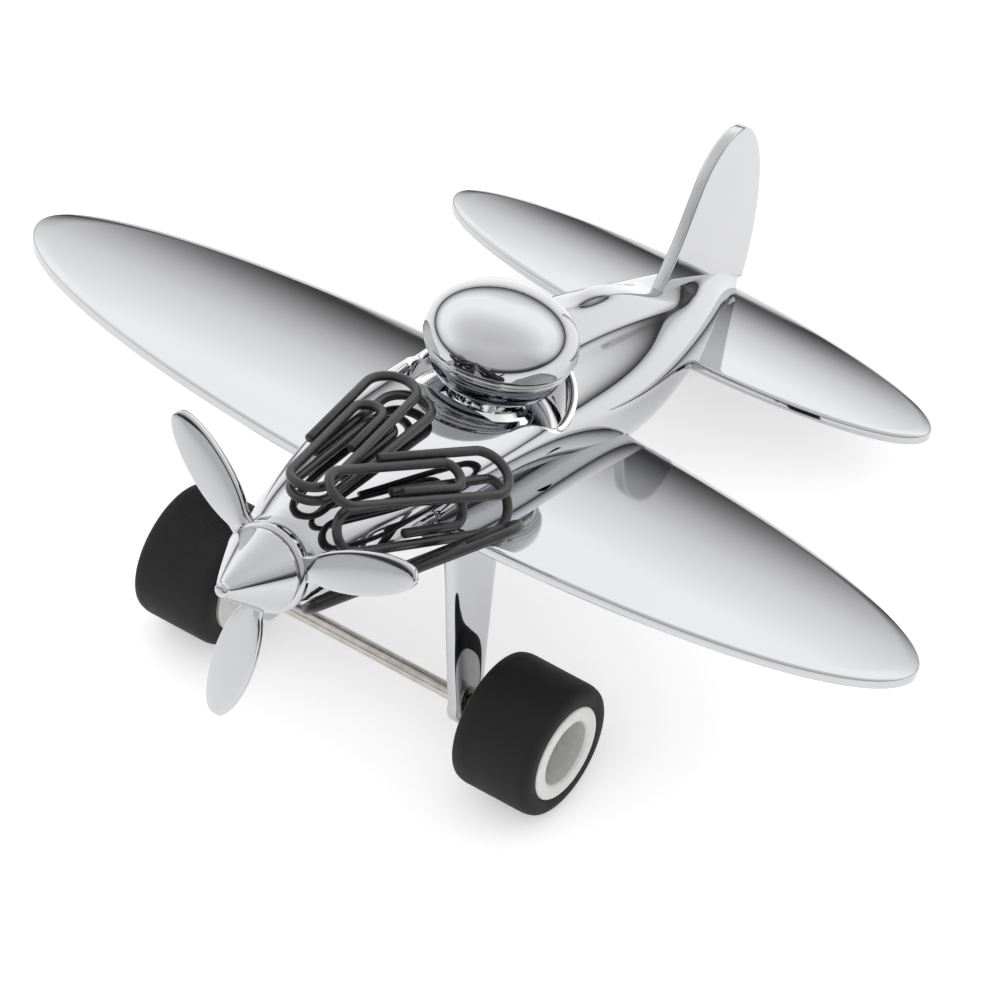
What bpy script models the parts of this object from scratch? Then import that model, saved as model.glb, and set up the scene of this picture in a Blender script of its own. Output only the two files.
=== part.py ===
"""Desk model of a propeller plane: chromed castings, a spinning propeller, rolling wheels and loose paper clips.

The plane is drawn in its own level frame: x to its left wing tip, y towards the tail, z up, in millimetres,
with the middle of the wing as the origin. An empty named attitude tips it nose-up onto its wheels and tail.
"""
import math

import bmesh
import bpy
from mathutils import Euler, Matrix, Vector

MM = 0.001

# Driving dimensions, in millimetres.
GAP = 0.3                     # clearance that touching pieces keep
PITCH = math.radians(21.5)    # nose-up stance on the two wheels and the tail skid

WING_HALF_SPAN = 75.0
WING_FRONT_CHORD = 22.6
WING_REAR_CHORD = 20.8
WING_THICKNESS = 1.6
WING_Z = -0.8
PLAN_POWER_FRONT = 0.49
PLAN_POWER_REAR = 0.53
TAIL_HALF_SPAN = 41.4
TAIL_FRONT_CHORD = 12.3
TAIL_REAR_CHORD = 11.6
TAIL_Y = 57.5
TAIL_Z = -0.4
TAIL_THICKNESS = 1.6
FIN_THICKNESS = 1.8

BELLY_FRONT = -25.0
BELLY_REAR = 23.0
BELLY_MIDDLE = (BELLY_FRONT + BELLY_REAR) / 2
BODY_POINTS = 32              # points round one fuselage section
EDGE_ROUND = 0.45             # rounding of the edges of the wing, tailplane and fin

PROP_Y = -50.3
PROP_Z = -1.3
PROP_TILT = math.radians(3.0)     # the thrust line rises slightly towards the spinner tip
PROP_RADIUS = 24.5
BLADE_WIDTH = 6.5
BLADE_THICKNESS = 1.3
BLADE_WIDEST = 0.52           # share of the blade's length at which it is widest
BLADE_ROOT_HALF_WIDTH = 1.9
BLADE_TIP_HALF_WIDTH = 0.5
BLADE_SEAT = 1.0              # depth of a blade's root in the hub
BLADE_EDGE = 0.3
BLADE_PITCH = math.radians(5.0)
SOCKET_SIZE = (4.6, 3.2, 6.0)
BLADE_ANGLES = (142.5, 23.5, -95.0)
HUB_RADIUS = 6.6
HUB_LENGTH = 2.0
SPINNER_BASE_RADIUS = 6.1
SPINNER_LENGTH = 10.4
SPINNER_TIP_RADIUS = 1.1
SHAFT_RADIUS = 1.2
NOSE_BORE_RADIUS = 5.1
NOSE_BORE_END = 14.6

AXLE_Y = -15.9
AXLE_Z = -28.2
AXLE_RADIUS = 1.15
TYRE_RADIUS = 10.1
TYRE_WIDTH = 13.1
TYRE_SHOULDER = 1.6
HUB_SLEEVE_RADIUS = 6.9
HUB_BORE_RADIUS = 4.9
HUB_WEB = 2.2
WHEEL_OUTER_X = 34.0
STRUT_FOOT_X = 16.6
STRUT_TOP_X = 13.6
STRUT_TOP_Z = WING_Z - WING_THICKNESS / 2 - GAP

HEAD_Y = 1.7
HEAD_Z = 16.0
COCKPIT_RADIUS = 11.2
COCKPIT_FRONT_Y = -8.2
COCKPIT_CORNER_X = 9.6
COCKPIT_FLOOR_Z = 4.4

SCREWS = ((-8.0, -2.6), (13.5, -4.2))    # place along y and height of the head's seat
SCREW_RADIUS = 1.2
SCREW_HOLE = 1.5
SCREW_HEAD_RADIUS = 2.4
SCREW_HEAD_HEIGHT = 1.5
SCREW_TIP_Z = 3.4

SKID_Y = 60.0
SKID_TOP_Z = -4.1
SKID_RADIUS = 1.1
SKID_HEIGHT = 3.2
PAD_THICKNESS = 1.2

CLIP_WIRE = 1.4
CLIP_LENGTH = 31.6
CLIP_INSET = 8.4          # the inner loop stops this far short of the outer one
CLIP_OUTER_END = 10.8     # from the wire's outer end to the far loop
CLIP_INNER_END = 12.0     # from the wire's inner end to the far loop

# Fuselage stations: y, half width, height of the widest line, top, bottom, roundness above and below.
STATIONS = (
    (-48.7, 6.1, -1.1, 5.0, -7.2, 2.0, 2.0),
    (-47.2, 6.7, -0.9, 5.8, -7.6, 2.0, 2.0),
    (-44.5, 7.6, -0.4, 6.9, -7.9, 2.1, 2.0),
    (-33.0, 9.9, 3.0, 8.8, -7.2, 2.3, 1.8),
    (-19.7, 11.7, 5.6, 10.0, -5.4, 2.5, 1.6),
    (-7.2, 12.5, 6.3, 10.7, -4.6, 2.6, 1.6),
    (7.2, 12.9, 4.9, 11.5, -6.0, 2.4, 1.8),
    (19.8, 13.1, 1.9, 11.0, -7.8, 2.2, 2.0),
    (32.6, 11.6, 0.9, 9.8, -7.4, 2.1, 2.0),
    (45.4, 8.4, 0.7, 8.2, -5.8, 2.0, 2.0),
    (57.2, 4.4, 0.4, 6.9, -5.0, 2.0, 2.0),
    (64.0, 1.9, 0.2, 5.4, -3.8, 2.0, 2.0),
    (68.6, 0.8, 0.0, 4.2, -2.6, 2.0, 2.0),
)
# Headrest ridge along the back: y and height above the body.
RIDGE = ((9.0, 0.0), (12.0, 4.2), (17.5, 5.0), (29.6, 4.0), (38.0, 2.0), (45.0, 0.3), (50.0, 0.0))
RIDGE_HALF_WIDTH = 3.4

# Fin outline in the centre plane: leading edge from the root upwards, round the tip, down the trailing edge.
FIN_OUTLINE = (
    (43.9, 6.0), (45.6, 10.0), (48.0, 15.6), (49.4, 21.0), (51.0, 26.4), (54.0, 29.9), (57.4, 31.2),
    (60.8, 30.4), (64.1, 27.0), (66.9, 21.1), (68.7, 14.2), (69.5, 7.3), (69.4, 2.0),
)

# Paper clips: middle of the clip, then heading from +y towards +x, climb and roll in degrees.
CLIPS = (
    ("paper_clip_1", (-2.7, -30.7, 11.9), 172.0, -5.5, 3.4),
    ("paper_clip_2", (-1.1, -30.5, 10.0), 177.3, -5.8, 2.9),
    ("paper_clip_3", (9.4, -31.0, 10.4), 199.9, 6.6, -24.7),
    ("paper_clip_4", (11.3, -30.9, 5.3), 196.9, 5.2, -55.2),
    ("paper_clip_5", (14.2, -35.7, 0.3), 232.6, -34.2, 23.4),
)

CHROME = ((0.80, 0.81, 0.83), 0.06, 1.0)
FACE_CHROME = ((0.30, 0.31, 0.34), 0.10, 1.0)
STEEL = ((0.62, 0.60, 0.57), 0.25, 1.0)
ALUMINIUM = ((0.82, 0.82, 0.82), 0.32, 1.0)
BRASS = ((0.78, 0.62, 0.30), 0.25, 1.0)
MAGNET = ((0.20, 0.20, 0.21), 0.45, 0.6)
RUBBER = ((0.03, 0.03, 0.03), 0.80, 0.0)
VINYL = ((0.05, 0.05, 0.055), 0.40, 0.0)


# ---------------------------------------------------------------- scene helpers
def clear_scene():
    for item in list(bpy.data.objects):
        bpy.data.objects.remove(item, do_unlink=True)


def new_collection(name):
    collection = bpy.data.collections.new(name)
    bpy.context.scene.collection.children.link(collection)
    return collection


def new_empty(name, location=(0, 0, 0), rotation=(0, 0, 0), parent=None):
    empty = bpy.data.objects.new(name, None)
    empty.empty_display_size = 0.01
    empty.location = Vector(location) * MM
    empty.rotation_euler = Euler(rotation)
    empty.parent = parent
    PARTS.objects.link(empty)
    return empty


def material(name, finish):
    colour, roughness, metallic = finish
    result = bpy.data.materials.new(name)
    result.use_nodes = True
    shader = result.node_tree.nodes["Principled BSDF"]
    shader.inputs["Base Color"].default_value = (*colour, 1.0)
    shader.inputs["Roughness"].default_value = roughness
    shader.inputs["Metallic"].default_value = metallic
    return result


def finish_object(obj, finish, parent, smooth_angle=35.0):
    """Give a piece its material, its parent and smooth shading on its round faces."""
    obj.data.materials.clear()
    obj.data.materials.append(material(obj.name, finish))
    obj.parent = parent
    if obj.type == "MESH":
        obj.data.shade_smooth()
        obj.data.set_sharp_from_angle(angle=math.radians(smooth_angle))
    return obj


def mesh_object(name, bm, collection=None):
    """Turn a bmesh drawn in millimetres into an object in metres."""
    bmesh.ops.scale(bm, vec=(MM, MM, MM), verts=bm.verts)
    bmesh.ops.recalc_face_normals(bm, faces=bm.faces)
    mesh = bpy.data.meshes.new(name)
    bm.to_mesh(mesh)
    bm.free()
    obj = bpy.data.objects.new(name, mesh)
    (collection or PARTS).objects.link(obj)
    return obj


def loft(name, rings, collection=None):
    """Skin a list of closed rings with equal point counts and cap both ends."""
    bm = bmesh.new()
    rows = [[bm.verts.new(point) for point in ring] for ring in rings]
    count = len(rows[0])
    for front, back in zip(rows, rows[1:]):
        for i in range(count):
            j = (i + 1) % count
            bm.faces.new((front[i], front[j], back[j], back[i]))
    bm.faces.new(rows[0])
    bm.faces.new(rows[-1][::-1])
    return mesh_object(name, bm, collection)


def turned(name, profile, steps, collection=None):
    """Spin a closed profile of (radius, height) points about z with a Screw modifier."""
    bm = bmesh.new()
    verts = [bm.verts.new((radius, 0.0, height)) for radius, height in profile]
    for a, b in zip(verts, verts[1:]):
        bm.edges.new((a, b))
    on_axis = profile[0][0] == 0.0 and profile[-1][0] == 0.0
    if not on_axis:
        bm.edges.new((verts[-1], verts[0]))
    bmesh.ops.scale(bm, vec=(MM, MM, MM), verts=bm.verts)
    mesh = bpy.data.meshes.new(name)
    bm.to_mesh(mesh)
    bm.free()
    obj = bpy.data.objects.new(name, mesh)
    (collection or PARTS).objects.link(obj)
    screw = obj.modifiers.new("turn", "SCREW")
    screw.steps = steps
    screw.render_steps = steps
    screw.use_merge_vertices = True
    screw.merge_threshold = 0.00001
    return obj


def slab(name, outline, thickness, edge, collection=None):
    """A flat plate in the x-y plane from a closed outline, with rounded edges by a Bevel modifier."""
    bm = bmesh.new()
    face = bm.faces.new([bm.verts.new((x, y, -thickness / 2)) for x, y in outline])
    grown = bmesh.ops.extrude_face_region(bm, geom=[face])
    top = [item for item in grown["geom"] if isinstance(item, bmesh.types.BMVert)]
    bmesh.ops.translate(bm, verts=top, vec=(0, 0, thickness))
    obj = mesh_object(name, bm, collection)
    if edge > 0:
        bevel = obj.modifiers.new("rounded_edge", "BEVEL")
        bevel.width = edge * MM
        bevel.segments = 2
        bevel.limit_method = "ANGLE"
        bevel.angle_limit = math.radians(60)
    return obj


def block(name, size, centre, rotation=(0, 0, 0)):
    """A cutter box."""
    bm = bmesh.new()
    bmesh.ops.create_cube(bm, size=1.0)
    bmesh.ops.scale(bm, vec=size, verts=bm.verts)
    obj = mesh_object(name, bm, CUTTERS)
    obj.location = Vector(centre) * MM
    obj.rotation_euler = Euler(rotation)
    return obj


def drum(name, radius, length, centre, axis="Z", sides=24):
    """A cutter cylinder."""
    bm = bmesh.new()
    bmesh.ops.create_cone(bm, segments=sides, radius1=radius, radius2=radius, depth=length, cap_ends=True)
    half_step = Matrix.Rotation(math.pi / sides, 3, "Z")
    bmesh.ops.rotate(bm, verts=bm.verts, matrix=half_step)
    obj = mesh_object(name, bm, CUTTERS)
    obj.location = Vector(centre) * MM
    turns = {"X": (0, math.pi / 2, 0), "Y": (math.pi / 2, 0, 0), "Z": (0, 0, 0)}
    obj.rotation_euler = Euler(turns[axis])
    return obj


def cut(obj, cutter, parent=None):
    """Subtract a cutter, which stays hidden and follows the same parent as the piece."""
    cutter.parent = parent or ATTITUDE
    cutter.hide_render = True
    cutter.display_type = "WIRE"
    boolean = obj.modifiers.new("cut_" + cutter.name, "BOOLEAN")
    boolean.operation = "DIFFERENCE"
    boolean.solver = "EXACT"
    boolean.object = cutter


# ---------------------------------------------------------------- shape helpers
def smooth_row(rows, y):
    """Read a table of stations at y along a smooth curve through its rows."""
    if y <= rows[0][0]:
        return rows[0][1:]
    if y >= rows[-1][0]:
        return rows[-1][1:]
    k = next(i for i in range(len(rows) - 1) if rows[i][0] <= y <= rows[i + 1][0])
    a, b = rows[k], rows[k + 1]
    before = rows[max(k - 1, 0)]
    after = rows[min(k + 2, len(rows) - 1)]
    step = b[0] - a[0]
    t = (y - a[0]) / step
    result = []
    for column in range(1, len(a)):
        slope_a = (b[column] - before[column]) / (b[0] - before[0])
        slope_b = (after[column] - a[column]) / (after[0] - a[0])
        value = (
            (2 * t**3 - 3 * t**2 + 1) * a[column]
            + (t**3 - 2 * t**2 + t) * step * slope_a
            + (3 * t**2 - 2 * t**3) * b[column]
            + (t**3 - t**2) * step * slope_b
        )
        result.append(value)
    return result


def signed_power(value, power):
    return math.copysign(abs(value) ** power, value)


def body_ring(y, count):
    """One cross-section of the fuselage at y, with the headrest ridge raised on its back."""
    half, middle, top, bottom, power_above, power_below = smooth_row(STATIONS, y)
    ridge = max(smooth_row(RIDGE, y)[0], 0.0)
    ring = []
    for i in range(count):
        angle = 2 * math.pi * i / count + math.pi / 2
        side, lift = math.cos(angle), math.sin(angle)
        power = power_above if lift > 0 else power_below
        x = half * signed_power(side, 2 / power)
        reach = top - middle if lift > 0 else middle - bottom
        z = middle + reach * signed_power(lift, 2 / power)
        if lift > 0:
            z += ridge * math.exp(-((x / RIDGE_HALF_WIDTH) ** 4))
        ring.append((x, y, z))
    return ring


def leaf_outline(half_span, front, rear, y0, points):
    """Plan of the wing and tailplane: two unlike half-ellipses meeting at round tips."""
    outline = []
    for i in range(points):
        angle = math.pi * i / points
        x = half_span * math.cos(angle)
        share = 1 - (x / half_span) ** 2
        outline.append((x, y0 - front * max(share, 0.0) ** PLAN_POWER_FRONT))
    for i in range(points):
        angle = math.pi + math.pi * i / points
        x = half_span * math.cos(angle)
        share = 1 - (x / half_span) ** 2
        outline.append((x, y0 + rear * max(share, 0.0) ** PLAN_POWER_REAR))
    return outline


# ---------------------------------------------------------------- airframe
def station_list(first, last, spacing):
    count = max(int(round((last - first) / spacing)), 1)
    return [first + (last - first) * i / count for i in range(count + 1)]


def make_fuselage():
    places = station_list(STATIONS[0][0], -12.0, 4.5) + station_list(-9.0, 14.0, 2.9)
    places += station_list(17.5, STATIONS[-1][0], 4.5)
    body = loft("fuselage", [body_ring(y, BODY_POINTS) for y in places])
    cut(body, cockpit_cutter())
    wing_top = WING_Z + WING_THICKNESS / 2 + GAP
    cut(body, block("belly_room", (60, BELLY_REAR - BELLY_FRONT + 2 * GAP, 20), (0, BELLY_MIDDLE, wing_top - 10.0)))
    tail_front = TAIL_Y - TAIL_FRONT_CHORD - GAP
    cut(body, block("tail_room", (60, 40, TAIL_THICKNESS + 2 * GAP), (0, tail_front + 20, TAIL_Z)))
    fin_front = FIN_OUTLINE[0][0] - GAP
    fin_foot = FIN_OUTLINE[-1][1] - GAP
    cut(body, block("fin_room", (FIN_THICKNESS + 2 * GAP, 40, 40), (0, fin_front + 20, fin_foot + 20)))
    bore = drum("nose_bore", NOSE_BORE_RADIUS, NOSE_BORE_END, (0, 0, 0))
    reach = NOSE_BORE_END / 2 + 0.6
    bore.location = Vector((0, PROP_Y + reach * math.cos(PROP_TILT), PROP_Z - reach * math.sin(PROP_TILT))) * MM
    bore.rotation_euler = Euler((math.pi / 2 - PROP_TILT, 0, 0))
    cut(body, bore)
    socket = drum("skid_socket", SKID_RADIUS + GAP, 6.0, (0, 0, 0), "Z", 16)
    drop = 3.0 - GAP
    socket.location = Vector((0, SKID_Y + drop * math.sin(PITCH), SKID_TOP_Z - drop * math.cos(PITCH))) * MM
    socket.rotation_euler = Euler((PITCH, 0, 0))
    cut(body, socket)
    for y, _ in SCREWS:
        cut(body, drum("screw_bore", SCREW_HOLE, 6.0, (0, y, SCREW_TIP_Z + GAP - 3.0), "Z", 16))
    return finish_object(body, CHROME, ATTITUDE)


def cockpit_cutter():
    """The cockpit opening: a straight windscreen edge in front and a round rear."""
    outline = []
    start = math.asin((COCKPIT_FRONT_Y - HEAD_Y) / COCKPIT_RADIUS)
    sweep = math.pi - 2 * start
    for i in range(29):
        angle = start + sweep * i / 28
        x = COCKPIT_RADIUS * math.cos(angle)
        y = COCKPIT_RADIUS * math.sin(angle)
        if y < -5.0:
            x = math.copysign(max(abs(x), COCKPIT_CORNER_X), x)
        outline.append((x, y + HEAD_Y))
    cutter = slab("cockpit_room", outline, 24.0, 0, CUTTERS)
    cutter.location = (0, 0, (COCKPIT_FLOOR_Z + 12.0) * MM)
    return cutter


def make_belly():
    """Lower shell under the wing, held up by two screws."""
    places = station_list(BELLY_FRONT, BELLY_REAR, 4.4)
    belly = loft("belly_cover", [body_ring(y, BODY_POINTS) for y in places])
    wing_underside = WING_Z - WING_THICKNESS / 2 - GAP
    cut(belly, block("belly_top_room", (60, 60, 40), (0, 0, wing_underside + 20.0)))
    for y, head in SCREWS:
        cut(belly, drum("belly_screw_room", SCREW_HOLE, 12.0, (0, y, -4.0), "Z", 16))
        cut(belly, drum("screw_head_room", SCREW_HEAD_RADIUS + GAP, 12.0, (0, y, head + GAP - 6.0), "Z", 20))
    return finish_object(belly, CHROME, ATTITUDE)


def make_wing():
    outline = leaf_outline(WING_HALF_SPAN, WING_FRONT_CHORD, WING_REAR_CHORD, 0.0, 34)
    wing = slab("main_wing", outline, WING_THICKNESS, EDGE_ROUND)
    wing.location = (0, 0, WING_Z * MM)
    for y, _ in SCREWS:
        cut(wing, drum("wing_screw_room", SCREW_HOLE, 6.0, (0, y, WING_Z), "Z", 16))
    return finish_object(wing, CHROME, ATTITUDE)


def make_tailplane():
    outline = leaf_outline(TAIL_HALF_SPAN, TAIL_FRONT_CHORD, TAIL_REAR_CHORD, TAIL_Y, 22)
    tail = slab("tailplane", outline, TAIL_THICKNESS, EDGE_ROUND)
    tail.location = (0, 0, TAIL_Z * MM)
    return finish_object(tail, CHROME, ATTITUDE)


def smooth_outline(points, repeats=1):
    """Round an open outline by cutting its corners."""
    for _ in range(repeats):
        result = [points[0]]
        for (ax, ay), (bx, by) in zip(points, points[1:]):
            result.append((0.75 * ax + 0.25 * bx, 0.75 * ay + 0.25 * by))
            result.append((0.25 * ax + 0.75 * bx, 0.25 * ay + 0.75 * by))
        result.append(points[-1])
        points = result
    return points


def make_fin():
    outline = smooth_outline(list(FIN_OUTLINE))
    fin = slab("tail_fin", outline, FIN_THICKNESS, EDGE_ROUND)
    fin.rotation_euler = Euler((math.pi / 2, 0, math.pi / 2))
    return finish_object(fin, CHROME, ATTITUDE)


# ---------------------------------------------------------------- undercarriage
def strut_ring(height, side):
    """One cross-section of a wheel strut: a flattened oval that widens towards the wing."""
    share = (height - AXLE_Z) / (STRUT_TOP_Z - AXLE_Z)
    clamped = min(max(share, 0.0), 1.0)
    middle_x = STRUT_FOOT_X + (STRUT_TOP_X - STRUT_FOOT_X) * clamped
    middle_y = AXLE_Y - 3.4 * clamped
    half_x = 1.4 + 0.5 * clamped
    half_y = 3.3 + 1.9 * clamped
    if share < 0:
        half_y *= max(math.sqrt(max(1 - ((AXLE_Z - height) / 3.5) ** 2, 0.0)), 0.25)
    ring = []
    for i in range(16):
        angle = 2 * math.pi * i / 16
        x = half_x * signed_power(math.cos(angle), 2 / 3.2)
        y = half_y * signed_power(math.sin(angle), 2 / 2.6)
        ring.append((side * (middle_x + x), middle_y + y, height))
    return ring


def make_strut(side_name, side):
    heights = [AXLE_Z - 3.4, AXLE_Z - 2.7, AXLE_Z - 1.4, AXLE_Z] + station_list(AXLE_Z + 2.4, STRUT_TOP_Z, 3.6)
    strut = loft("strut_" + side_name, [strut_ring(z, side) for z in heights])
    cut(strut, drum("axle_eye", AXLE_RADIUS + GAP, 12.0, (side * STRUT_FOOT_X, AXLE_Y, AXLE_Z), "X", 20))
    return finish_object(strut, CHROME, ATTITUDE)


def ring_profile(inner, outer, low, high, corner, angles=(90, 0)):
    """Closed profile of a ring with eased outer corners, down its outer side first."""
    arc = [math.radians(a) for a in angles]
    top = [(outer - corner + corner * math.cos(a), high - corner + corner * math.sin(a)) for a in arc]
    bottom = [(outer - corner + corner * math.cos(a), low + corner - corner * math.sin(a)) for a in arc[::-1]]
    return top + bottom + [(inner, low), (inner, high)]


def along_x(obj, x, parent, side=1.0):
    """Lay a turned piece on the axle line, its +z end pointing outboard."""
    obj.location = (x * MM, 0, 0)
    obj.rotation_euler = Euler((0, side * math.pi / 2, 0))
    obj.parent = parent
    return obj


def make_wheel(side_name, side, pivot):
    inner_x = WHEEL_OUTER_X - TYRE_WIDTH
    sleeve_outer = WHEEL_OUTER_X + 0.1
    bore = AXLE_RADIUS + GAP
    hub_profile = [
        (HUB_SLEEVE_RADIUS, sleeve_outer), (HUB_SLEEVE_RADIUS, inner_x - 0.3), (bore, inner_x - 0.3),
        (bore, inner_x + HUB_WEB), (HUB_BORE_RADIUS, inner_x + HUB_WEB),
        (HUB_BORE_RADIUS, sleeve_outer - 0.4), (HUB_BORE_RADIUS + 0.4, sleeve_outer),
    ]
    hub = turned("wheel_hub_" + side_name, hub_profile, 30)
    along_x(hub, 0, pivot, side)
    finish_object(hub, ALUMINIUM, pivot)
    tyre_bore = HUB_SLEEVE_RADIUS + GAP
    tyre_profile = ring_profile(tyre_bore, TYRE_RADIUS, inner_x, WHEEL_OUTER_X, TYRE_SHOULDER, (90, 55, 25, 0))
    tyre = turned("tyre_" + side_name, tyre_profile, 36)
    along_x(tyre, 0, pivot, side)
    finish_object(tyre, RUBBER, pivot)


def make_undercarriage():
    axle_line = new_empty("axle_line", (0, AXLE_Y, AXLE_Z), parent=ATTITUDE)
    inner_x = WHEEL_OUTER_X - TYRE_WIDTH
    axle_end = inner_x + HUB_WEB + 1.4
    axle = turned("axle", [(0.0, axle_end), (AXLE_RADIUS, axle_end), (AXLE_RADIUS, -axle_end), (0.0, -axle_end)], 20)
    along_x(axle, 0, axle_line)
    finish_object(axle, STEEL, axle_line)
    for side_name, side in (("left", 1.0), ("right", -1.0)):
        make_strut(side_name, side)
        pivot = new_empty("wheel_pivot_" + side_name, parent=axle_line)
        make_wheel(side_name, side, pivot)
        low = STRUT_FOOT_X + 1.5 + GAP
        spacer = turned(
            "spacer_" + side_name,
            ring_profile(AXLE_RADIUS + GAP, 2.5, low, inner_x - 0.3 - GAP, 0.3), 20,
        )
        along_x(spacer, 0, axle_line, side)
        finish_object(spacer, STEEL, axle_line)
        cap_low = inner_x + HUB_WEB + GAP
        cap = turned(
            "axle_nut_" + side_name,
            ring_profile(AXLE_RADIUS + GAP, 2.8, cap_low, cap_low + 2.0, 0.4), 20,
        )
        along_x(cap, 0, axle_line, side)
        finish_object(cap, STEEL, axle_line)


# ---------------------------------------------------------------- propeller
def blade_outline():
    """Plan of a blade: across, and out along the radius from its root in the hub to its round tip."""
    root = HUB_RADIUS - BLADE_SEAT
    shares = [0.5 - 0.5 * math.cos(math.pi * i / 14) for i in range(15)]
    side = []
    for share in shares:
        swell = max(1 - (2 * (share - BLADE_WIDEST)) ** 2, 0.0) ** 0.5
        floor = BLADE_ROOT_HALF_WIDTH if share < BLADE_WIDEST else BLADE_TIP_HALF_WIDTH
        side.append((max(BLADE_WIDTH / 2 * swell, floor), root + (PROP_RADIUS - root) * share))
    return side + [(-across, radius) for across, radius in reversed(side)]


def make_propeller():
    pivot = new_empty("propeller_axis", (0, PROP_Y, PROP_Z), (-PROP_TILT, 0, 0), ATTITUDE)
    lay_flat = Matrix.Rotation(math.pi / 2, 3, "X") @ Matrix.Rotation(-BLADE_PITCH, 3, "Y")
    for number, angle in enumerate(BLADE_ANGLES, 1):
        blade = slab("blade_%d" % number, blade_outline(), BLADE_THICKNESS, BLADE_EDGE)
        swing = Matrix.Rotation(math.radians(90 - angle), 3, "Y")
        blade.rotation_euler = (swing @ lay_flat).to_euler()
        finish_object(blade, CHROME, pivot)
    half = HUB_LENGTH / 2
    hub = turned("propeller_hub", ring_profile(SHAFT_RADIUS + GAP, HUB_RADIUS, -half, half, 0.4, (90, 45, 0)), 28)
    hub.rotation_euler = Euler((math.pi / 2, 0, 0))
    finish_object(hub, CHROME, pivot)
    for number, angle in enumerate(BLADE_ANGLES, 1):
        socket = block("blade_socket_%d" % number, SOCKET_SIZE, (0, 0, 0))
        socket.rotation_euler = Euler((0, math.radians(90 - angle), 0))
        turn = math.radians(angle)
        reach = HUB_RADIUS - BLADE_SEAT - GAP + SOCKET_SIZE[2] / 2
        socket.location = Vector((reach * math.cos(turn), 0, reach * math.sin(turn))) * MM
        cut(hub, socket, pivot)
    base = half + GAP
    tip = base + SPINNER_LENGTH
    profile = [(0.0, tip), (SPINNER_TIP_RADIUS * 0.7, tip - 0.1), (SPINNER_TIP_RADIUS, tip - 0.8)]
    for i in range(1, 7):
        share = i / 6
        radius = SPINNER_TIP_RADIUS + (SPINNER_BASE_RADIUS - SPINNER_TIP_RADIUS) * share**0.92
        profile.append((radius, tip - 0.8 - (SPINNER_LENGTH - 0.8) * share))
    profile += [(SHAFT_RADIUS + GAP, base), (SHAFT_RADIUS + GAP, base + 5.0), (0.0, base + 5.0)]
    spinner = turned("spinner", profile, 28)
    spinner.rotation_euler = Euler((math.pi / 2, 0, 0))
    finish_object(spinner, CHROME, pivot)
    front, rear = base + 4.6, -14.0
    shaft = turned("propeller_shaft", [(0.0, front), (SHAFT_RADIUS, front), (SHAFT_RADIUS, rear), (0.0, rear)], 20)
    shaft.rotation_euler = Euler((math.pi / 2, 0, 0))
    finish_object(shaft, STEEL, pivot)
    return pivot


def make_nose(pivot):
    """Fixed pieces round the propeller shaft: bush, magnet and collar in the nose bore."""
    face = HUB_LENGTH / 2 + GAP
    bush = turned("shaft_bush", ring_profile(SHAFT_RADIUS + GAP, 2.3, -12.0, -face - 0.2, 0.2), 20)
    magnet = turned("nose_magnet", ring_profile(2.3 + GAP, 4.5, -10.8, -face - 1.6, 0.3), 24)
    for piece, finish in ((bush, BRASS), (magnet, MAGNET)):
        piece.location = (0, PROP_Y * MM, PROP_Z * MM)
        piece.rotation_euler = Euler((math.pi / 2 - PROP_TILT, 0, 0))
        finish_object(piece, finish, ATTITUDE)
    collar = turned("shaft_collar", ring_profile(SHAFT_RADIUS + GAP, 2.6, -13.8, -12.0 - GAP, 0.2), 20)
    collar.rotation_euler = Euler((math.pi / 2, 0, 0))
    finish_object(collar, STEEL, pivot)


# ---------------------------------------------------------------- pilot and fasteners
def make_pilot():
    """The pilot's head as three turned pieces: helmet, face band and collar, stacked in the cockpit."""
    helmet_profile = [(0.0, 6.9)]
    for i in range(1, 10):
        angle = math.radians(90 - 10 * i)
        helmet_profile.append((11.05 * math.cos(angle), 6.9 * math.sin(angle)))
    helmet_profile += [(10.9, -1.1), (10.5, -2.1), (9.9, -2.7), (8.6, -2.9), (0.0, -2.9)]
    face_profile = [
        (0.0, -3.2), (9.4, -3.2), (9.5, -4.3), (9.1, -5.6), (8.5, -6.6), (8.7, -7.1), (8.3, -7.6),
        (6.4, -7.9), (0.0, -7.9),
    ]
    floor = COCKPIT_FLOOR_Z + GAP - HEAD_Z
    collar_profile = [(0.0, -8.2), (5.6, -8.2), (5.9, -9.4), (6.8, -10.2), (7.0, floor), (0.0, floor)]
    for name, profile, finish in (
        ("pilot_helmet", helmet_profile, CHROME),
        ("pilot_face", face_profile, FACE_CHROME),
        ("pilot_collar", collar_profile, CHROME),
    ):
        piece = turned(name, profile, 34)
        piece.location = Vector((0, HEAD_Y, HEAD_Z)) * MM
        finish_object(piece, finish, ATTITUDE)


def make_fasteners():
    """Two slotted screws that hold the belly cover and the wing up against the fuselage."""
    rim = SCREW_HEAD_RADIUS
    for number, (y, head) in enumerate(SCREWS, 1):
        foot = head - SCREW_HEAD_HEIGHT
        profile = [
            (0.0, SCREW_TIP_Z), (SCREW_RADIUS - 0.3, SCREW_TIP_Z), (SCREW_RADIUS, SCREW_TIP_Z - 0.4),
            (SCREW_RADIUS, head), (rim, head), (rim, foot + 0.4), (rim - 0.4, foot), (0.0, foot),
        ]
        screw = turned("belly_screw_%d" % number, profile, 20)
        screw.location = (0, y * MM, 0)
        cut(screw, block("drive_slot", (8.0, 0.8, 1.2), (0, y, foot)))
        finish_object(screw, STEEL, ATTITUDE)


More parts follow.
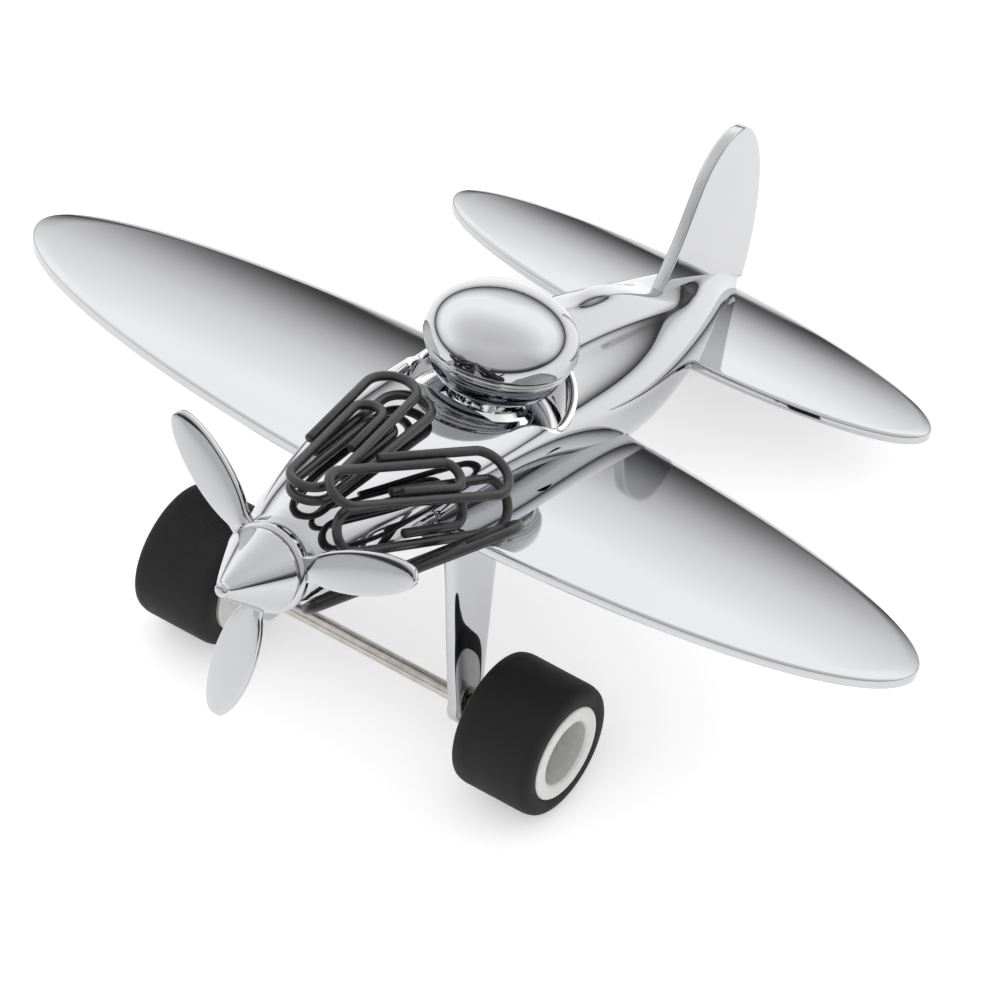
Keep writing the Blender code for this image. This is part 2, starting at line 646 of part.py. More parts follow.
def make_tail_skid():
    """A short skid under the tail with a rubber pad whose lower face is level with the table."""
    foot = -SKID_HEIGHT
    skid_profile = [
        (0.0, 0.0), (SKID_RADIUS, 0.0), (SKID_RADIUS, -1.4), (1.8, foot + 0.3), (1.6, foot), (0.0, foot),
    ]
    skid = turned("tail_skid", skid_profile, 20)
    top = foot - GAP
    pad = turned("tail_pad", [(0.0, top), (2.2, top), (2.2, top - PAD_THICKNESS), (0.0, top - PAD_THICKNESS)], 20)
    for piece, finish in ((skid, CHROME), (pad, RUBBER)):
        piece.location = Vector((0, SKID_Y, SKID_TOP_Z)) * MM
        piece.rotation_euler = Euler((PITCH, 0, 0))
        finish_object(piece, finish, ATTITUDE)


# ---------------------------------------------------------------- paper clips
def arc_points(centre, radius, start, end, count):
    """Points on an arc in the clip's own plane, angles in degrees."""
    result = []
    for i in range(count + 1):
        angle = math.radians(start + (end - start) * i / count)
        result.append((centre[0] + radius * math.cos(angle), centre[1] + radius * math.sin(angle)))
    return result


def clip_route():
    """Centre line of a paper clip's wire in its plane: u along its length, v across."""
    outer, second, inner = 3.7, 2.95, 2.15
    low = -CLIP_LENGTH / 2
    high = CLIP_LENGTH / 2
    route = [(high - CLIP_OUTER_END, outer)]
    route += arc_points((low + outer, 0.0), outer, 90, 270, 8)
    route += arc_points((high - second, -outer + second), second, -90, 90, 8)
    route += arc_points((low + CLIP_INSET + inner, 0.05), inner, 90, 270, 6)
    route += [(high - CLIP_INNER_END, 0.05 - inner)]
    return route


def make_clip(name, place, heading, climb, roll):
    curve = bpy.data.curves.new(name, "CURVE")
    curve.dimensions = "3D"
    curve.bevel_depth = CLIP_WIRE / 2 * MM
    curve.bevel_resolution = 1
    curve.use_fill_caps = True
    route = clip_route()
    spline = curve.splines.new("POLY")
    spline.points.add(len(route) - 1)
    for point, (u, v) in zip(spline.points, route):
        point.co = (v * MM, u * MM, 0.0, 1.0)
    clip = bpy.data.objects.new(name, curve)
    PARTS.objects.link(clip)
    clip.location = Vector(place) * MM
    clip.rotation_mode = "YXZ"
    clip.rotation_euler = [math.radians(angle) for angle in (climb, roll, -heading)]
    clip.data.materials.append(material(name, VINYL))
    clip.parent = ATTITUDE
    return clip


# ---------------------------------------------------------------- standing on the table
def stand_on_origin(frame):
    """Move the frame so that the origin is the bottom centre of the whole object's box."""
    bpy.context.view_layer.update()
    graph = bpy.context.evaluated_depsgraph_get()
    corners = []
    for obj in PARTS.objects:
        if obj.type == "EMPTY":
            continue
        mesh = obj.evaluated_get(graph).to_mesh()
        corners += [obj.matrix_world @ vertex.co for vertex in mesh.vertices]
    low = [min(point[k] for point in corners) for k in range(3)]
    high = [max(point[k] for point in corners) for k in range(3)]
    frame.location -= Vector(((low[0] + high[0]) / 2, (low[1] + high[1]) / 2, low[2]))


clear_scene()
PARTS = new_collection("propeller_plane_model")
CUTTERS = new_collection("cutters")
ATTITUDE = new_empty("attitude", rotation=(-PITCH, 0, 0))
make_fuselage()
make_belly()
make_wing()
make_tailplane()
make_fin()
make_undercarriage()
propeller_axis = make_propeller()
make_nose(propeller_axis)
make_pilot()
make_fasteners()
make_tail_skid()
for clip_facts in CLIPS:
    make_clip(*clip_facts)
stand_on_origin(ATTITUDE)
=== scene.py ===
"""Finished look of a polished metal desk model of a propeller plane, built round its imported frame.

Shapes are drawn in the plane's own level frame, in millimetres: x to its left wing tip, y towards the tail,
z up, with the middle of the wing's upper face as the origin. Its place in the world comes from the axle.
"""

import math

import bmesh
import bpy
import numpy as np
from mathutils import Matrix, Vector


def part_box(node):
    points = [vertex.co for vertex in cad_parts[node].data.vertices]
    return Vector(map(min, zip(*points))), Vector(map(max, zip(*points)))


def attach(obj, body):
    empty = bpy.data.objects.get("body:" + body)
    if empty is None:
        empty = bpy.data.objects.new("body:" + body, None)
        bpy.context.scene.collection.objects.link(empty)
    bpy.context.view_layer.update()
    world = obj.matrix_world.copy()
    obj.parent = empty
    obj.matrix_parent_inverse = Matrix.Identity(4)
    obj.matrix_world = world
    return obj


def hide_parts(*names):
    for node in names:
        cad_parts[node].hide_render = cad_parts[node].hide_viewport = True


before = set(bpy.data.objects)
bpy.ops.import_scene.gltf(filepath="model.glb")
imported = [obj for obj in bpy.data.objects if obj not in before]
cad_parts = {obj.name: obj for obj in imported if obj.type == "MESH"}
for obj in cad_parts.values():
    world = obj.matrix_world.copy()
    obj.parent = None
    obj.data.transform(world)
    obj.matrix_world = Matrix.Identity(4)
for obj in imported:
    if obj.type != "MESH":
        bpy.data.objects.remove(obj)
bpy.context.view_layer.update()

MM = 0.001
PITCH = math.radians(21.5)
AXLE_Y, AXLE_Z = -15.9, -28.2
PROP_Y, PROP_Z, PROP_TILT = -50.3, -1.3, math.radians(3.0)
HEAD_Y, HEAD_Z = 1.7, 16.0
SKID_Y, SKID_TOP_Z = 60.0, -4.1

SPAN_FRONT, SPAN_REAR = 0.49, 0.53      # powers of the wing plan's front and rear curves
WING = (75.0, 22.6, 20.8, 0.0)          # half span, chord ahead of and behind the widest line, and its y
TAIL = (41.4, 12.3, 11.6, 57.5)
PLATE = 1.6                             # thickness of the wing and the tailplane at their edges
UNDER_WING = -PLATE - 0.1               # height at which pieces below the wing begin

# Fuselage sections: y, half width, height of the widest line, top, bottom, and the powers of the curve above
# and below that line (two is an ellipse).
STATIONS = (
    (-48.7, 6.1, -1.1, 5.0, -7.2, 2.0, 2.0),
    (-47.2, 6.7, -0.9, 5.8, -7.6, 2.0, 2.0),
    (-44.5, 7.6, -0.4, 6.9, -7.9, 2.1, 2.0),
    (-33.0, 9.9, 3.0, 8.8, -7.2, 2.3, 1.8),
    (-19.7, 11.7, 5.6, 10.0, -5.4, 2.5, 1.6),
    (-7.2, 12.5, 6.3, 10.7, -4.6, 2.6, 1.6),
    (7.2, 12.9, 4.9, 11.5, -6.0, 2.4, 1.8),
    (19.8, 13.1, 1.9, 11.0, -7.8, 2.5, 2.0),
    (32.6, 11.6, 0.9, 9.8, -7.4, 2.6, 2.0),
    (45.4, 8.4, 0.7, 8.2, -5.8, 2.6, 2.0),
    (57.2, 4.4, 0.4, 6.9, -5.0, 2.4, 2.0),
    (64.0, 1.9, 0.2, 5.4, -3.8, 2.2, 2.0),
    (68.6, 0.8, 0.0, 4.2, -2.6, 2.0, 2.0),
)
# The headrest's ridge behind the cockpit: y and its height over the fuselage.
RIDGE = ((9.0, 0.0), (12.0, 4.2), (17.5, 5.0), (29.6, 4.0), (38.0, 2.0), (45.0, 0.3), (50.0, 0.0))
RIDGE_HALF_WIDTH = 3.4
TAIL_ROUNDING = 0.8                     # length of the fuselage's rounded rear end
SCREWS = ((-8.0, -2.6), (13.5, -4.2))   # y of each belly screw, and the height of its head's upper face
CLEAR_ABOVE, CLEAR_BELOW = 40.0, -20.0  # heights that cutting shapes reach, clear of the pieces they cut
# The fin's outline: y and z, from the foot of its leading edge to the foot of its trailing edge.
FIN = (
    (43.9, 6.0), (45.6, 10.0), (48.0, 15.6), (49.4, 21.0), (51.0, 26.4), (54.0, 29.9), (57.4, 31.2),
    (60.8, 30.4), (64.1, 27.0), (66.9, 21.1), (68.7, 14.2), (69.5, 7.3), (69.4, 2.0),
)

TILT = Matrix.Rotation(-PITCH, 4, "X")
axle_low, axle_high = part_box("axle")
ORIGIN = (axle_low + axle_high) / 2 - TILT.to_3x3() @ Vector((0, AXLE_Y, AXLE_Z)) * MM
FRAME = Matrix.Translation(ORIGIN) @ TILT


# ---------------------------------------------------------------- materials
class Shade:
    """A node material under construction."""

    def __init__(self, name, colour, metallic, roughness):
        self.material = bpy.data.materials.new(name)
        self.material.use_nodes = True
        self.tree = self.material.node_tree
        self.shader = self.tree.nodes["Principled BSDF"]
        self.shader.inputs["Base Color"].default_value = (*colour, 1.0)
        self.shader.inputs["Metallic"].default_value = metallic
        self.shader.inputs["Roughness"].default_value = roughness
        self.coords = self.add("ShaderNodeTexCoord")

    def add(self, kind, **inputs):
        node = self.tree.nodes.new(kind)
        for key, value in inputs.items():
            node.inputs[key.replace("_", " ")].default_value = value
        return node

    def link(self, a, output, b, socket):
        self.tree.links.new(a.outputs[output], b.inputs[socket])

    def noise(self, scale, detail=2.0, roughness=0.5):
        node = self.add("ShaderNodeTexNoise", Scale=scale, Detail=detail, Roughness=roughness)
        self.link(self.coords, "Object", node, "Vector")
        return node

    def spread(self, source, output, socket, low, high, start=0.3, end=0.7):
        """Feed a texture to one socket of the shader, mapped from start..end to low..high."""
        node = self.add("ShaderNodeMapRange")
        node.inputs["From Min"].default_value = start
        node.inputs["From Max"].default_value = end
        node.inputs["To Min"].default_value = low
        node.inputs["To Max"].default_value = high
        self.link(source, output, node, "Value")
        self.link(node, "Result", self.shader, socket)

    def tones(self, source, output, dark, light, start=0.3, end=0.7):
        """Feed a texture to the base colour as a ramp between two tones."""
        ramp = self.add("ShaderNodeValToRGB")
        ramp.color_ramp.elements[0].position = start
        ramp.color_ramp.elements[0].color = (*dark, 1.0)
        ramp.color_ramp.elements[1].position = end
        ramp.color_ramp.elements[1].color = (*light, 1.0)
        self.link(source, output, ramp, "Fac")
        self.link(ramp, "Color", self.shader, "Base Color")

    def bump(self, sources, distance):
        """Chain height textures, each with its own strength, into the shader's normal."""
        previous = None
        for source, output, strength in sources:
            node = self.add("ShaderNodeBump", Strength=strength, Distance=distance)
            self.link(source, output, node, "Height")
            if previous:
                self.link(previous, "Normal", node, "Normal")
            previous = node
        self.link(previous, "Normal", self.shader, "Normal")


def chrome(name, tone=(0.52, 0.522, 0.535), roughness=0.03):
    """Polished plating over a casting: faint haze that comes and goes, and a very slow wave."""
    shade = Shade(name, tone, 1.0, roughness)
    haze = shade.noise(90.0, 3.0)
    shade.spread(haze, "Fac", "Roughness", roughness, roughness + 0.03)
    shade.tones(shade.noise(35.0), "Fac", tuple(c * 0.97 for c in tone), tone)
    shade.bump([(shade.noise(60.0, 1.0, 0.3), "Fac", 0.02)], 0.0006)
    return shade.material


def turned_metal(name, dark, light, roughness, pitch=9000.0, metallic=1.0):
    """Metal turned on a lathe: fine grooves side by side along the axle's direction."""
    shade = Shade(name, light, metallic, roughness)
    grooves = shade.add("ShaderNodeTexWave", Scale=pitch, Distortion=0.6, Detail=1.0)
    grooves.wave_type = "BANDS"
    grooves.bands_direction = "X"
    shade.link(shade.coords, "Object", grooves, "Vector")
    patches = shade.noise(700.0, 3.0)
    shade.tones(patches, "Fac", dark, light)
    shade.spread(patches, "Fac", "Roughness", roughness, roughness + 0.12)
    shade.bump([(grooves, "Fac", 0.12), (patches, "Fac", 0.05)], 0.00006)
    return shade.material


def rubber(name):
    """Matt black moulded rubber with a fine grain and a little dust."""
    shade = Shade(name, (0.010, 0.010, 0.010), 0.0, 0.66)
    shade.shader.inputs["Specular IOR Level"].default_value = 0.32
    grain = shade.noise(5200.0, 3.0, 0.6)
    patches = shade.noise(160.0, 4.0)
    shade.tones(patches, "Fac", (0.007, 0.007, 0.007), (0.013, 0.013, 0.013))
    shade.spread(patches, "Fac", "Roughness", 0.62, 0.82)
    shade.bump([(grain, "Fac", 0.22), (patches, "Fac", 0.05)], 0.0002)
    return shade.material


def vinyl(name):
    """Dark grey plastic coating on wire: a soft sheen broken by a faint skin."""
    shade = Shade(name, (0.016, 0.015, 0.016), 0.0, 0.30)
    shade.shader.inputs["Coat Weight"].default_value = 0.15
    shade.shader.inputs["Coat Roughness"].default_value = 0.25
    skin = shade.noise(900.0, 3.0)
    shade.tones(skin, "Fac", (0.012, 0.011, 0.012), (0.022, 0.021, 0.022))
    shade.spread(skin, "Fac", "Roughness", 0.26, 0.40)
    shade.bump([(shade.noise(2600.0, 2.0), "Fac", 0.10)], 0.0001)
    return shade.material


def ferrite(name):
    """Sintered magnet: dull dark grey with a coarse grain."""
    shade = Shade(name, (0.05, 0.05, 0.055), 0.4, 0.5)
    grain = shade.noise(2200.0, 4.0)
    shade.tones(grain, "Fac", (0.03, 0.03, 0.033), (0.08, 0.08, 0.085))
    shade.bump([(grain, "Fac", 0.2)], 0.0001)
    return shade.material


CHROME = chrome("chrome_plating")
# A lighter copy of the chrome plating for the cockpit's inner wall and the pilot's collar: painted light in
# the cockpit's recess.
PAINTED_LIGHT_CHROME = chrome("inner_chrome_painted_light", (0.78, 0.78, 0.79), 0.05)
# A darker, hazier copy of the chrome plating for the band under the helmet's brim: painted shade.
FACE_PAINTED_SHADE = chrome("dark_chrome_painted_shade", (0.20, 0.205, 0.23), 0.10)
NICKEL = turned_metal("nickel_steel", (0.44, 0.42, 0.39), (0.56, 0.54, 0.50), 0.16)
ALUMINIUM = turned_metal("turned_aluminium", (0.66, 0.66, 0.645), (0.74, 0.74, 0.73), 0.34, 5200.0, 0.25)
BRASS = turned_metal("turned_brass", (0.62, 0.48, 0.22), (0.76, 0.60, 0.30), 0.22)
RUBBER = rubber("tyre_rubber")
VINYL = vinyl("vinyl_coating")
MAGNET = ferrite("ferrite")


# ---------------------------------------------------------------- mesh helpers
def build(name, points, faces, body, node, finish, matrix=Matrix.Identity(4), sharp=40.0):
    """A piece from points in millimetres, in a local frame placed by matrix in the plane's frame.

    It rides on the named body and takes the place of the named node; edges past sharp degrees stay hard.
    """
    local = matrix.copy()
    local.translation = matrix.translation * MM
    mesh = bpy.data.meshes.new(name)
    mesh.from_pydata([tuple(c * MM for c in point) for point in points], [], faces)
    mesh.validate()
    mesh.transform(FRAME @ local)
    mesh.shade_smooth()
    mesh.set_sharp_from_angle(angle=math.radians(sharp))
    mesh.materials.append(finish)
    obj = bpy.data.objects.new(name, mesh)
    bpy.context.scene.collection.objects.link(obj)
    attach(obj, body)
    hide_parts(node)
    return obj


def skin(rings, closed_start=True, closed_end=True):
    """Points and faces of a tube through closed rings of equal counts, first ring to last."""
    count = len(rings[0])
    points = [point for ring in rings for point in ring]
    faces = []
    for row in range(len(rings) - 1):
        for i in range(count):
            j = (i + 1) % count
            a, b = row * count, (row + 1) * count
            faces.append((a + i, b + i, b + j, a + j))
    if closed_start:
        faces.append(tuple(range(count)))
    if closed_end:
        base = (len(rings) - 1) * count
        faces.append(tuple(base + i for i in reversed(range(count))))
    return points, faces


def rounded(profile, radius, closed, steps=5):
    """Round the corners of a profile; a corner takes as much of the radius as its sides allow."""
    result = []
    count = len(profile)
    for k, corner in enumerate(profile):
        if not closed and k in (0, count - 1):
            result.append(corner)
            continue
        before, after = Vector(profile[k - 1]), Vector(profile[(k + 1) % count])
        point = Vector(corner)
        to_before, to_after = before - point, after - point
        reach = min(radius, to_before.length * 0.45, to_after.length * 0.45)
        a = point + to_before.normalized() * reach
        b = point + to_after.normalized() * reach
        for s in range(steps + 1):
            t = s / steps
            result.append(tuple(a * (1 - t) ** 2 + point * 2 * t * (1 - t) + b * t * t))
    return result


def spin(name, profile, body, node, finish, matrix, edge=0.15, sides=96, closed=False, sharp=40.0):
    """Turn a profile of (radius, height) about local z; an open profile starts and ends on the axis."""
    line = rounded(profile, edge, closed)
    rings = [
        [(r * math.cos(t), r * math.sin(t), z) for t in (2 * math.pi * i / sides for i in range(sides))]
        for r, z in (line if closed else line[1:-1])
    ]
    points, faces = skin(rings, False, False)
    last = (len(rings) - 1) * sides
    if closed:
        faces += [(last + i, i, (i + 1) % sides, last + (i + 1) % sides) for i in range(sides)]
    else:
        top, bottom = len(points), len(points) + 1
        points += [(0.0, 0.0, line[0][1]), (0.0, 0.0, line[-1][1])]
        faces += [(top, i, (i + 1) % sides) for i in range(sides)]
        faces += [(bottom, last + (i + 1) % sides, last + i) for i in range(sides)]
    return build(name, points, faces, body, node, finish, matrix, sharp)


def smooth_table(rows):
    """A twice-smooth curve through a table's rows: returns a function of the first column."""
    table = np.array(rows, float)
    knots, values = table[:, 0], table[:, 1:]
    count = len(knots)
    steps = np.diff(knots)
    system = np.eye(count)
    right = np.zeros_like(values)
    for i in range(1, count - 1):
        system[i, i - 1], system[i, i + 1] = steps[i - 1], steps[i]
        system[i, i] = 2 * (steps[i - 1] + steps[i])
        right[i] = 6 * ((values[i + 1] - values[i]) / steps[i] - (values[i] - values[i - 1]) / steps[i - 1])
    bend = np.linalg.solve(system, right)

    def read(at):
        at = min(max(at, knots[0]), knots[-1])
        i = min(int(np.searchsorted(knots, at, side="right")) - 1, count - 2)
        h = steps[i]
        a, b = (knots[i + 1] - at) / h, (at - knots[i]) / h
        return (
            a * values[i] + b * values[i + 1]
            + ((a**3 - a) * bend[i] + (b**3 - b) * bend[i + 1]) * h * h / 6
        )

    return read


# ---------------------------------------------------------------- fuselage
section = smooth_table(STATIONS)
ridge_line = smooth_table(RIDGE)


def ridge_height(y):
    """Height of the headrest's ridge over the fuselage."""
    if y <= RIDGE[0][0] or y >= RIDGE[-1][0]:
        return 0.0
    return max(float(ridge_line(y)[0]), 0.0)


def body_ring(y, count):
    """One section of the fuselage with its ridge."""
    half, middle, top, bottom, power_above, power_below = section(y)
    lift = ridge_height(y)
    ring = []
    for i in range(count):
        angle = 2 * math.pi * i / count + math.pi / 2
        c, s = math.cos(angle), math.sin(angle)
        power = power_above if s > 0 else power_below
        reach = top - middle if s > 0 else middle - bottom
        radius = (abs(c / half) ** power + abs(s / reach) ** power) ** (-1 / power)
        x, z = radius * c, middle + radius * s
        if s > 0:
            z += lift * math.exp(-((x / RIDGE_HALF_WIDTH) ** 4))
        ring.append((x, y, z))
    return ring


def body_top(x, y):
    """Height of the fuselage's upper face."""
    half, middle, top, _, power, _ = section(y)
    share = max(1 - abs(x / half) ** power, 0.0) ** (1 / power)
    return middle + (top - middle) * share + ridge_height(y) * math.exp(-((x / RIDGE_HALF_WIDTH) ** 4))


def body_normal(x, y):
    """Outward direction of the fuselage's upper face."""
    step = 0.05
    dx = (body_top(x + step, y) - body_top(x - step, y)) / (2 * step)
    dy = (body_top(x, y + step) - body_top(x, y - step)) / (2 * step)
    return Vector((-dx, -dy, 1.0)).normalized()


COCKPIT_RADIUS, COCKPIT_FRONT, COCKPIT_CORNER, COCKPIT_FLOOR = 11.2, -8.2, 9.6, 4.4
COCKPIT_EDGE = 0.75      # rounding of the cockpit's rim
COCKPIT_BOW = 0.5        # how far the front wall bows forward in its middle
CORNER_START = -5.0      # distance from the head's axis, along y, where the corners begin
CORNER_LENGTH = 4.0
BORE_RADIUS, BORE_DEPTH = 5.1, 12.0      # the nose's bore, as deep as this behind the propeller's plane


def cockpit_outline(count=160):
    """Plan of the cockpit's inner wall: a nearly straight front, corners, and a round rear."""
    start = math.asin((COCKPIT_FRONT - HEAD_Y) / COCKPIT_RADIUS)
    around = 120
    outline = []
    for i in range(around):
        angle = start + (math.pi - 2 * start) * i / (around - 1)
        x, y = COCKPIT_RADIUS * math.cos(angle), COCKPIT_RADIUS * math.sin(angle)
        if y < CORNER_START:
            blend = min((CORNER_START - y) / CORNER_LENGTH, 1.0)
            x = math.copysign(max(abs(x), COCKPIT_CORNER - 0.5 * blend), x)
        outline.append((x, y + HEAD_Y))
    left, right = outline[-1], outline[0]
    across = count - around
    for i in range(1, across):
        share = i / across
        bow = COCKPIT_BOW * (1 - (2 * share - 1) ** 2)
        outline.append((left[0] + (right[0] - left[0]) * share, left[1] - bow))
    for _ in range(3):
        outline = [
            tuple((Vector(outline[i - 1]) + 2 * Vector(p) + Vector(outline[(i + 1) % len(outline)])) / 4)
            for i, p in enumerate(outline)
        ]
    return outline


def make_shell():
    """The fuselage's outer skin, with a rounded lip at the nose and a rounded tail."""
    start, end = STATIONS[0][0], STATIONS[-1][0] - TAIL_ROUNDING
    steps = 230
    rings = [body_ring(start + (end - start) * i / steps, 144) for i in range(steps + 1)]
    nose, tail = rings[0], rings[-1]
    nose_height, tail_height, lip = STATIONS[0][2], 0.8, 0.30
    lips, ends = [], []
    for share, ahead in ((0.86, 0.30), (0.93, 0.22), (0.975, 0.08)):
        y = nose[0][1] - ahead + lip
        lips.append([(x * share, y, nose_height + (z - nose_height) * share) for x, _, z in nose])
    for share, past in ((0.92, 0.45), (0.6, 0.85), (0.2, 1.0)):
        y = tail[0][1] + past * TAIL_ROUNDING
        ends.append([(x * share, y, tail_height + (z - tail_height) * share) for x, _, z in tail])
    points, faces = skin(lips + rings[1:] + ends)
    return build("fuselage_shell", points, faces, "airframe", "fuselage", CHROME, sharp=50.0)


def cockpit_strip(x, y):
    """The plan place where the cockpit's rim starts, and the section from there down to the floor."""
    inward = (Vector((0, HEAD_Y)) - Vector((x, y))).normalized()
    if y < COCKPIT_FRONT + 1.2 and abs(x) < COCKPIT_CORNER - 1.0:
        inward = Vector((0, 1))
    plan = Vector((x, y))
    for _ in range(4):
        normal = body_normal(plan.x, plan.y)
        if normal.z < 0.35:
            normal = Vector((normal.x, normal.y, 0.5)).normalized()
        plan = Vector((x, y)) - (inward - normal.xy) * COCKPIT_EDGE
    top = Vector((plan.x, plan.y, body_top(plan.x, plan.y)))
    heart = top - normal * COCKPIT_EDGE
    wall = Vector((inward.x, inward.y, 0.0))
    turn = normal.angle(wall)
    rim = []
    for t in (k / 8 for k in range(9)):
        swing = math.sin((1 - t) * turn) * normal + math.sin(t * turn) * wall
        rim.append(heart + COCKPIT_EDGE * swing / math.sin(turn))
    low = rim[-1].copy()
    low.z = COCKPIT_FLOOR + 0.5
    corner = low + wall * 0.15 - Vector((0, 0, 0.35))
    floor = low + wall * 0.5 - Vector((0, 0, 0.5))
    middle = Vector((0, HEAD_Y, COCKPIT_FLOOR))
    return plan, [*rim, low, corner, floor, floor.lerp(middle, 0.5), floor.lerp(middle, 0.9)]


def make_fuselage():
    shell = make_shell()
    edge, strips = zip(*(cockpit_strip(x, y) for x, y in cockpit_outline()))
    rows = [[tuple(strip[k]) for strip in strips] for k in range(len(strips[0]))]
    points, faces = skin(rows, False, False)
    # the tub wears the lighter copy of the chrome: painted light in the recess
    build("cockpit_tub", points, [face[::-1] for face in faces], "airframe", "fuselage", PAINTED_LIGHT_CHROME)
    centre = Vector((0, HEAD_Y))
    tuck = 0.998      # size of the opening in the shell, as a share of the tub's edge that covers it
    cut_ring = [(p.x, p.y) for p in (centre + (e - centre) * tuck for e in edge)]
    cutter = [[(x, y, z) for x, y in cut_ring] for z in (COCKPIT_FLOOR - 0.3, CLEAR_ABOVE)]
    subtract(shell, *skin(cutter))
    bore = []
    for reach in (-3.0, BORE_DEPTH):
        y, middle = PROP_Y + reach * math.cos(PROP_TILT), PROP_Z - reach * math.sin(PROP_TILT)
        bore.append([
            (BORE_RADIUS * math.cos(t), y, middle + BORE_RADIUS * math.sin(t))
            for t in (2 * math.pi * i / 64 for i in range(64))
        ])
    subtract(shell, *skin(bore))


def subtract(obj, points, faces):
    """Cut a closed shape, given in millimetres in the plane's frame, out of a piece."""
    mesh = bpy.data.meshes.new("cutter")
    mesh.from_pydata([tuple(c * MM for c in point) for point in points], [], faces)
    mesh.transform(FRAME)
    cutter = bpy.data.objects.new("cutter", mesh)
    bpy.context.scene.collection.objects.link(cutter)
    recalculate(mesh)
    recalculate(obj.data)
    boolean = obj.modifiers.new("cut", "BOOLEAN")
    boolean.object = cutter
    boolean.solver = "EXACT"
    bpy.context.view_layer.update()
    graph = bpy.context.evaluated_depsgraph_get()
    result = bpy.data.meshes.new_from_object(obj.evaluated_get(graph))
    obj.modifiers.clear()
    result.name = obj.name
    obj.data = result
    result.shade_smooth()
    result.set_sharp_from_angle(angle=math.radians(40))
    bpy.data.objects.remove(cutter)


def recalculate(mesh):
    """Turn all faces outwards."""
    bm = bmesh.new()
    bm.from_mesh(mesh)
    bmesh.ops.recalc_face_normals(bm, faces=bm.faces)
    bm.to_mesh(mesh)
    bm.free()


def make_belly():
    """The fuselage's sections cut off below the wing, with a counterbore for each screw's head."""
    front, rear, steps, radius = -25.0, 23.0, 90, 2.7
    rings = []
    for i in range(steps + 1):
        ring = body_ring(front + (rear - front) * i / steps, 120)
        rings.append([(x, y, min(z, UNDER_WING)) for x, y, z in ring])
    points, faces = skin(rings)
    belly = build("belly_shell", points, faces, "airframe", "belly_cover", CHROME, sharp=50.0)
    for place, head in SCREWS:
        turns = [2 * math.pi * i / 48 for i in range(48)]
        circle = [(radius * math.cos(t), place + radius * math.sin(t)) for t in turns]
        subtract(belly, *skin([[(x, y, z) for x, y in circle] for z in (head + 0.3, CLEAR_BELOW)]))


# ---------------------------------------------------------------- flat castings
def plan_edge(shape, count):
    """Outline of the wing or tailplane with its outward direction, evenly spread along its length."""
    half, front, rear, middle = shape
    raw = []
    dense = 1200
    for i in range(dense):
        angle = 2 * math.pi * i / dense
        x = half * math.cos(angle)
        share = math.sin(angle) ** 2
        if math.sin(angle) >= 0:
            raw.append((x, middle + rear * share**SPAN_REAR))
        else:
            raw.append((x, middle - front * share**SPAN_FRONT))
    return even(raw, count)


def even(raw, count):
    """Spread points evenly along a closed line, and give each its outward direction."""
    line = np.array(raw + [raw[0]])
    lengths = np.concatenate(([0.0], np.cumsum(np.linalg.norm(np.diff(line, axis=0), axis=1))))
    places = np.linspace(0, lengths[-1], count, endpoint=False)
    xs = np.interp(places, lengths, line[:, 0])
    ys = np.interp(places, lengths, line[:, 1])
    for _ in range(6):
        xs = (np.roll(xs, 1) + 2 * xs + np.roll(xs, -1)) / 4
        ys = (np.roll(ys, 1) + 2 * ys + np.roll(ys, -1)) / 4
    tx, ty = np.roll(xs, -1) - np.roll(xs, 1), np.roll(ys, -1) - np.roll(ys, 1)
    size = np.hypot(tx, ty)
    nx, ny = ty / size, -tx / size
    area = np.sum(xs * np.roll(ys, -1) - ys * np.roll(xs, -1))
    if area < 0:
        nx, ny = -nx, -ny
    return np.stack((xs, ys, nx, ny), axis=1)


def plate(outline, upper, lower, edge, centre, steps=6, rings=26):
    """A plate with rounded edges between two surfaces, as points and faces."""
    middle_x, middle_y = centre

    def inset(depth):
        return [(x - nx * depth, y - ny * depth) for x, y, nx, ny in outline]

    def fill(surface):
        """Loops of one face, from its edge in towards its centre."""
        loops = []
        for k in range(rings, 0, -1):
            loop = []
            for x, y in inset(edge):
                x, y = middle_x + (x - middle_x) * (k / rings), middle_y + (y - middle_y) * (k / rings)
                loop.append((x, y, surface(x, y)))
            loops.append(loop)
        return loops

    upper_arc, lower_arc = [], []
    for k in range(1, steps + 1):
        turn = math.pi / 2 * k / steps
        depth = edge * (1 - math.sin(turn))
        drop = edge * (1 - math.cos(turn))
        upper_arc.append([(x, y, upper(x, y) - drop) for x, y in inset(depth)])
        lower_arc.append([(x, y, lower(x, y) + drop) for x, y in inset(depth)])
    return skin(fill(upper)[::-1] + upper_arc + lower_arc[::-1] + fill(lower))


def crown(shape, factor):
    """Upper face of a casting that swells gently between its leading and trailing edges."""
    half, front, rear, middle = shape

    def height(x, y):
        share = max(1 - (x / half) ** 2, 0.0)
        ahead = front * share**SPAN_FRONT
        behind = rear * share**SPAN_REAR
        return factor * max(y - middle + ahead, 0.0) * max(middle + behind - y, 0.0)

    return height


def make_wing():
    swell, edge, centre = crown(WING, 0.0025), 0.32, (0.0, -0.9)
    points, faces = plate(
        plan_edge(WING, 560), swell, lambda x, y: -PLATE - 0.25 * swell(x, y), edge, centre,
    )
    build("wing_casting", points, faces, "airframe", "main_wing", CHROME, sharp=60.0)


def make_tailplane():
    swell, edge, centre = crown(TAIL, 0.0044), 0.42, (0.0, TAIL[3] - 0.4)
    lift = 0.4      # of its upper edge over the wing's
    points, faces = plate(
        plan_edge(TAIL, 380), lambda x, y: lift + swell(x, y),
        lambda x, y: lift - PLATE - 0.2 * swell(x, y), edge, centre,
    )
    build("tailplane_casting", points, faces, "airframe", "tailplane", CHROME, sharp=60.0)


